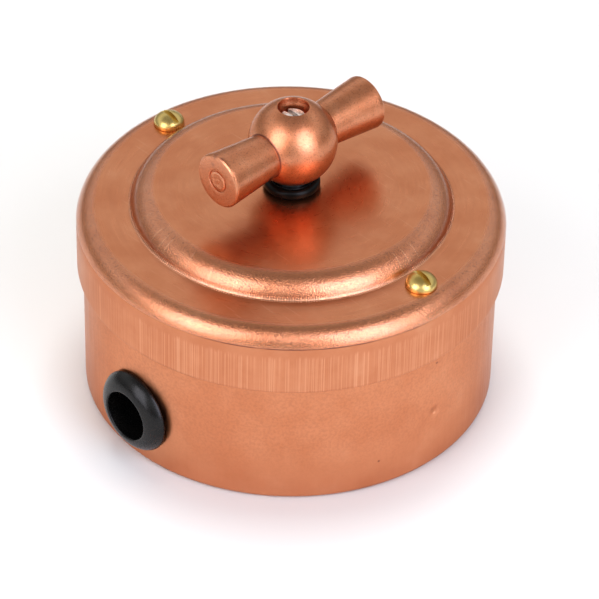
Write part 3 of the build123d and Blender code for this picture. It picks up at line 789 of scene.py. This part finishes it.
def grommetOutline():
    bore, lip, ease = grommet["bore"], grommet["lip"], grommet["boreEase"]
    neck, flange, inside = grommet["neck"], grommet["flange"], grommet["inside"]
    top, end = grommet["insideTop"], grommet["insideEnd"]
    cut, edge = grommet["insideEase"], grommet["insideRound"]
    run = [(bore, end + ease), (bore, 0.0)]
    run += cornerRun((bore + lip, grommet["dome"] - lip), lip, 180, 90, steps=6)
    run += bowRun(run[-1], grommet["domeMiddle"], (flange, grommet["flangeEdge"]), steps=18)
    run += [(flange - inwards, outwards) for inwards, outwards in grommet["flangePath"]]
    run += [(neck, grommet["seat"]), (neck, grommet["neckMiddle"]), (neck, top)]
    run += [(inside - cut, top), (inside, top - cut)]
    run += cornerRun((inside - edge, end + edge), edge, 0, -90, steps=6)
    run += [(bore + ease, end), (bore, end + ease)]
    return run


grommetPiece = turnOutline("grommetRing", grommetOutline(), grommet["segments"])
turnAndPlace(grommetPiece, (90, 0, 0), (0, -base["radius"], base["cableHeight"]))
finishPiece(grommetPiece, "cable_grommet", "case", finishes["blackRubber"])


# bush round the spindle: a lip above the lid, a foot below it

bush = {
    "bore": 3.55,
    "neck": 4.15,
    "lip": 5.0,
    "lipRound": 0.8,
    "mouthRound": 0.4,
    "seat": 40.9,
    "top": 42.85,
    "footTop": 40.0,
    "footEnd": 38.8,
    "footEase": 0.1,
    "segments": 112,
}


def bushOutline():
    bore, neck, lip = bush["bore"], bush["neck"], bush["lip"]
    edge, mouth, ease = bush["lipRound"], bush["mouthRound"], bush["footEase"]
    seat, top, footTop, footEnd = bush["seat"], bush["top"], bush["footTop"], bush["footEnd"]
    run = [(bore, footEnd + ease), (bore, footTop)]
    run += cornerRun((bore + mouth, top - mouth), mouth, 180, 90, steps=5)
    run += cornerRun((lip - edge, top - edge), edge, 90, 0, steps=8)
    run += cornerRun((lip - edge, seat + edge), edge, 0, -90, steps=8)
    run += [(neck, seat), (neck, footTop), (lip, footTop)]
    run += cornerRun((lip - mouth, footEnd + mouth), mouth, 0, -90, steps=4)
    run += [(bore + ease, footEnd), (bore, footEnd + ease)]
    return run


bushPiece = turnOutline("bushRing", bushOutline(), bush["segments"])
finishPiece(bushPiece, "spindle_bush", "case", finishes["blackBush"])


# slotted screws: the lid's pair and the knob's are turned, slotted and softened alike

screwShape = {
    "tip": 0.3,
    "underHead": 0.02,
    "headEase": 0.12,
    "crownTurn": 88,
    "crownSteps": 22,
    "soften": 0.05,
    "softenAngle": 50,
    "segments": 72,
}


def slottedScrew(name, size):
    radius, high, edge = size["head"], size["high"], size["edge"]
    shank, length = size["shank"], size["length"]
    tip, ease = screwShape["tip"], screwShape["headEase"]
    run = [(shank - tip, -length), (shank, tip - length), (shank, -screwShape["underHead"])]
    run += [(radius - ease, 0.0), (radius, ease)]
    run += arcRun((0, edge), (radius, high - edge), 0, screwShape["crownTurn"], screwShape["crownSteps"])
    screw = turnOutline(name, run, screwShape["segments"])
    slotSize = (3 * radius, size["slotWide"], 2 * size["slotDeep"])  # longer than the head, half of it above
    combine(screw, boxAt("slot", slotSize, (0, 0, high)), "DIFFERENCE")
    softenEdges(screw, screwShape["soften"], screwShape["softenAngle"])
    return screw


lidScrew = {
    "head": 2.8,
    "high": 2.2,
    "edge": 0.3,
    "shank": 1.45,
    "length": 9.0,
    "slotWide": 0.95,
    "slotDeep": 0.9,
    "slotTurns": (-5.5, -11.0),
}

leftScrew = slottedScrew("lidScrews", lidScrew)
rightScrew = copyPiece(leftScrew, "rightScrew")
leftTurn, rightTurn = lidScrew["slotTurns"]
turnAndPlace(leftScrew, (0, 0, leftTurn), (-lid["screwOffset"], 0, lid["ledge"]))
turnAndPlace(rightScrew, (0, 0, rightTurn), (lid["screwOffset"], 0, lid["ledge"]))
joinPieces(leftScrew, rightScrew)
finishPiece(leftScrew, "lid_screws", "case", finishes["screwBrass"])


# knob: a drilled ball with two flared arms and a square socket for the spindle, and its screw

knob = {
    "ball": 7.83,
    "center": 50.451,
    "seat": 43.35,
    "bore": 2.75,
    "boreFloor": 54.58,
    "rimEase": 0.16,
    "rimPath": ((0.05, 0.03), (0.0, 0.14)),  # out from the bore, down from the mouth
    "passage": 1.45,
    "socket": 4.1,
    "socketDeep": 3.6,
    "socketBelow": 2,
    "neck": 4.05,
    "neckPath": ((0.15, 5.2), (0.15, 6.8), (0.04, 6.88)),  # in from the neck, reach from the spindle
    "flare": 5.0,
    "end": 17.8,
    "edgePath": ((0.05, 0.26), (0.21, 0.1), (0.3, 0.02), (0.42, 0)),  # in from the flare, back from the end
    "edgeFrom": (0.02, 0.42),
    "ring": 1.95,
    "ringFrom": 0.24,
    "ringPath": ((0.13, 0.02), (0.07, 0.2), (-0.07, 0.2), (-0.13, 0.03), (-0.3, 0.01)),  # out, back
    "pipPath": ((1.2, 0.0), (0.8, 0.05), (0.4, 0.03), (0.08, 0.01)),  # radius, back from the end
    "segments": 160,
    "armSegments": 128,
}

knobScrew = {
    "head": 2.05,
    "high": 1.6,
    "edge": 1.3,
    "shank": 1.2,
    "length": 12.0,
    "slotWide": 0.95,
    "slotDeep": 0.9,
    "slotTurn": -3.5,
}

knobScrewPiece = slottedScrew("knobScrew", knobScrew)
turnAndPlace(knobScrewPiece, (0, 0, knobScrew["slotTurn"]), (0, 0, knob["boreFloor"]))
finishPiece(knobScrewPiece, "knob_screw", "turning_set", finishes["nickelPlate"])


# the knob's copper: a dark grain, dings, painted shade in the creases, and painted light on the ends, which
# have a rough pip

knobFinish = {
    "patchSize": 2.2,
    "lacquer": 0.55,
    "rough": (0.27, 0.37),
    "grainSize": 0.30,
    "grainFrom": (0.50, 0.70, 0, 0.5),
    "grainDepth": 0.05,
    "dings": ((-0.77, -17.5, 55.06), (0.71, -17.5, 55.5), (-1.17, -17.7, 53.4)),
    "dingRadius": 0.8,
    "dingDark": 0.8,
    "creaseReach": (6.62, 6.84, 0.05),
    "creaseRadius": (3.7, 4.2, 0.05),
    "creaseShade": 0.85,
    "endLightReach": (17.55, 17.7, 0, 0.3),
    "pipReach": (17.35, 17.45),
    "pipRadius": (1.45, 1.75, 1, 0),
    "pipScale": 2.2,
    "pipDepth": 0.1,
}


def makeKnobCopper():
    look = knobFinish
    material, tree, shader = startCopper("knobCopper")
    shader.inputs["Coat Weight"].default_value = look["lacquer"]
    place = objectPlace(tree)
    tone = copperTone(tree, place, look["patchSize"])
    grain = cloud(tree, place["point"], 1 / look["grainSize"], detail=3, rough=0.65)
    tone = stainAndPaintedLight(tree, tone, "dark", spread(tree, grain, *look["grainFrom"]))
    for ding in look["dings"]:
        mark = spotAt(tree, place, ding, look["dingRadius"])
        tone = stainAndPaintedLight(tree, tone, "dark", times(tree, mark, look["dingDark"]))
    # painted shade in the crease where each arm leaves the ball
    lift = reckon(tree, "SUBTRACT", place["z"], knob["center"])
    offAxis = acrossOf(tree, place["x"], lift)
    reach = reckon(tree, "ABSOLUTE", place["y"])
    nearBall = within(tree, reach, *look["creaseReach"])
    crease = times(tree, nearBall, within(tree, offAxis, *look["creaseRadius"]))
    tone = stainAndPaintedLight(tree, tone, "dark", times(tree, crease, look["creaseShade"]))
    # painted light makes the ends paler
    tone = stainAndPaintedLight(tree, tone, "pale", spread(tree, reach, *look["endLightReach"]))
    feed(tree, shader.inputs["Base Color"], tone)
    feed(tree, shader.inputs["Roughness"], overNoise(tree, grain, look["rough"]))
    # the rough pip in the middle of each end
    pip = times(tree, spread(tree, offAxis, *look["pipRadius"]), spread(tree, reach, *look["pipReach"]))
    pitted = cloud(tree, place["point"], look["pipScale"])
    normal = relief(tree, grain, look["grainDepth"])
    normal = relief(tree, times(tree, pitted, pip), look["pipDepth"], normal)
    feed(tree, shader.inputs["Normal"], normal)
    return material


def ballOutline():
    ball, center, bore = knob["ball"], knob["center"], knob["bore"]
    seat, boreFloor, passage = knob["seat"], knob["boreFloor"], knob["passage"]
    startTurn = math.degrees(math.asin((seat - center) / ball))
    endTurn = math.degrees(math.acos((bore + knob["rimEase"]) / ball))
    run = cornerRun((0, center), ball, startTurn, endTurn, steps=64)
    mouth = run[-1][1]
    run += [(bore + outwards, mouth - down) for outwards, down in knob["rimPath"]]
    run += [(bore, boreFloor), (passage, boreFloor), (passage, seat), run[0]]
    return run


def armOutline():
    neck, flare, end, ring = knob["neck"], knob["flare"], knob["end"], knob["ring"]
    inwards, back = knob["edgeFrom"]
    run = [(neck - inset, reach) for inset, reach in knob["neckPath"]]  # a fine crease at the ball
    run += straightRun(run[-1], (flare - inwards, end - back), steps=16)
    run += [(flare - inset, end - depth) for inset, depth in knob["edgePath"]]
    run += straightRun(run[-1], (ring + knob["ringFrom"], end), steps=4)
    run += [(ring + outset, end - depth) for outset, depth in knob["ringPath"]]
    run += [(radius, end - depth) for radius, depth in knob["pipPath"]]
    return run


knobPiece = turnOutline("knobBar", ballOutline(), knob["segments"])
socketHigh = knob["socketDeep"] + knob["socketBelow"]
socketMiddle = knob["seat"] + (knob["socketDeep"] - knob["socketBelow"]) / 2
socketBox = boxAt("socket", (knob["socket"], knob["socket"], socketHigh), (0, 0, socketMiddle))
combine(knobPiece, socketBox, "DIFFERENCE")
for turn in (90, -90):
    arm = turnOutline("arm", armOutline(), knob["armSegments"])
    turnAndPlace(arm, (turn, 0, 0), (0, 0, knob["center"]))
    combine(knobPiece, arm, "UNION")
finishPiece(knobPiece, "knob", "turning_set", makeKnobCopper())


# the pieces inside keep their solids and get their finishes

innerFinish = {
    "zincSteel": ("mounting_strap", "body_screws", "bearing_bracket", "click_housing", "spindle",
                  "thrust_washer"),
    "innerBrass": ("lid_pillars", "earth_washer", "earth_screw", "fixed_contacts", "terminal_blocks",
                   "terminal_screws", "contact_bridge"),
    "springSteel": ("click_ball", "click_spring", "spindle_clip"),
    "brownResin": ("rotor", "click_disc"),
    "porcelain": ("switch_body",),
}
for finishName, nodeNames in innerFinish.items():
    for nodeName in nodeNames:
        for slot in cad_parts[nodeName].material_slots:
            slot.material = finishes[finishName]
    print("finished with", finishName + ":", len(nodeNames))


# floor, room and lights have their lengths in metres, the camera in millimetres

stage = {
    "floorSize": 6.0,
    "floorHeight": -0.0001,
    "floorColour": (0.735, 0.735, 0.71, 1),
    "floorRough": 0.9,
    "floorSheen": 0.0,
    "skyRise": (0.14, 0.56, 0.30, 0.93),
    "ceilingRise": (0.64, 0.86, 1.0, 0.40),
    "skyFill": 0.27,
    "lightAim": 0.04,
}

bpy.ops.object.select_all(action="DESELECT")
bpy.ops.mesh.primitive_plane_add(size=stage["floorSize"], location=(0, 0, stage["floorHeight"]))
floor = bpy.context.object
floor.name = "floor"
floorMaterial, floorTree, floorShader = startMaterial("paleFloor")
feed(floorTree, floorShader.inputs["Base Color"], stage["floorColour"])
feed(floorTree, floorShader.inputs["Roughness"], stage["floorRough"])
feed(floorTree, floorShader.inputs["Specular IOR Level"], stage["floorSheen"])
floor.data.materials.append(floorMaterial)

# the room: darker near the floor and overhead, seen whole in reflections and dimmer as fill light
world = bpy.data.worlds.new("studio")
bpy.context.scene.world = world
world.use_nodes = True
skyTree = world.node_tree
sky = skyTree.nodes["Background"]
direction = skyTree.nodes.new("ShaderNodeTexCoord")
split = skyTree.nodes.new("ShaderNodeSeparateXYZ")
skyTree.links.new(direction.outputs["Generated"], split.inputs[0])
skyHeight = split.outputs["Z"]
upperRoom = spread(skyTree, skyHeight, *stage["ceilingRise"])
room = times(skyTree, spread(skyTree, skyHeight, *stage["skyRise"]), upperRoom)
rays = skyTree.nodes.new("ShaderNodeLightPath")
mirrored = larger(skyTree, rays.outputs["Is Glossy Ray"], rays.outputs["Is Transmission Ray"])
seen = larger(skyTree, rays.outputs["Is Camera Ray"], mirrored)
fill = times(skyTree, reckon(skyTree, "SUBTRACT", 1.0, seen), stage["skyFill"])
skyTree.links.new(plus(skyTree, times(skyTree, room, seen), fill), sky.inputs["Strength"])
sky.inputs["Color"].default_value = (1, 1, 1, 1)

camera = {
    "azimuth": 45.58,
    "elevation": 38.1,
    "distance": 650.0,
    "roll": -1.283,
    "aimRight": 1.783,
    "aimHeight": 15.42,
    "lens": 217.06,
    "sensor": 36.0,
}

# the lights' azimuths are counted from the camera's own, to the right of the picture
lightBoxes = {
    "boxLeft": {"azimuth": -45, "elevation": 29, "distance": 0.72, "size": (0.45, 0.64),
                "watts": 3.3, "tint": (0.97, 0.94, 1.04), "mirrored": True},
    "boxRight": {"azimuth": 40, "elevation": 27, "distance": 0.72, "size": (0.42, 0.72),
                 "watts": 3.9, "tint": (0.95, 0.96, 1.18), "mirrored": True},
    "overhead": {"azimuth": 180, "elevation": 76, "distance": 1.1, "size": (0.5, 0.5),
                 "watts": 9.4, "tint": (1, 0.99, 0.98), "mirrored": False},
    "frontFill": {"azimuth": 0, "elevation": 50, "distance": 1.0, "size": (0.5, 0.5),
                  "watts": 1.3, "tint": (1, 1, 1), "mirrored": False},
}


def outwardsAt(azimuth, elevation):
    turn = math.radians(azimuth)
    rise = math.radians(elevation)
    return Vector((math.sin(turn) * math.cos(rise), -math.cos(turn) * math.cos(rise), math.sin(rise)))


def addLightBox(name, settings):
    outwards = outwardsAt(camera["azimuth"] + settings["azimuth"], settings["elevation"])
    lamp = bpy.data.lights.new(name, "AREA")
    lamp.shape = "RECTANGLE"
    lamp.size, lamp.size_y = settings["size"]
    lamp.energy = settings["watts"]
    lamp.color = settings["tint"]
    box = bpy.data.objects.new(name, lamp)
    bpy.context.scene.collection.objects.link(box)
    box.location = outwards * settings["distance"] + Vector((0, 0, stage["lightAim"]))
    box.rotation_euler = outwards.to_track_quat("Z", "Y").to_euler()
    box.visible_glossy = settings["mirrored"]  # the metal shows only the two boxes and the room


for boxName, settings in lightBoxes.items():
    addLightBox(boxName, settings)

cameraTurn = math.radians(camera["azimuth"])
cameraRoll = math.radians(camera["roll"])
levelRight = Vector((math.cos(cameraTurn), math.sin(cameraTurn), 0))
back = outwardsAt(camera["azimuth"], camera["elevation"])
levelUp = back.cross(levelRight)
right = math.cos(cameraRoll) * levelRight - math.sin(cameraRoll) * levelUp
up = math.cos(cameraRoll) * levelUp + math.sin(cameraRoll) * levelRight
aim = levelRight * camera["aimRight"] * mm + Vector((0, 0, camera["aimHeight"] * mm))
place = aim + back * camera["distance"] * mm
eye = bpy.data.cameras.new("camera")
eye.lens = camera["lens"]
eye.sensor_width = camera["sensor"]
eyeObject = bpy.data.objects.new("camera", eye)
bpy.context.scene.collection.objects.link(eyeObject)
eyeObject.matrix_world = Matrix.Translation(place) @ Matrix((right, up, back)).transposed().to_4x4()
bpy.context.scene.camera = eyeObject
bpy.context.scene.view_settings.view_transform = "Standard"
print("stage set")
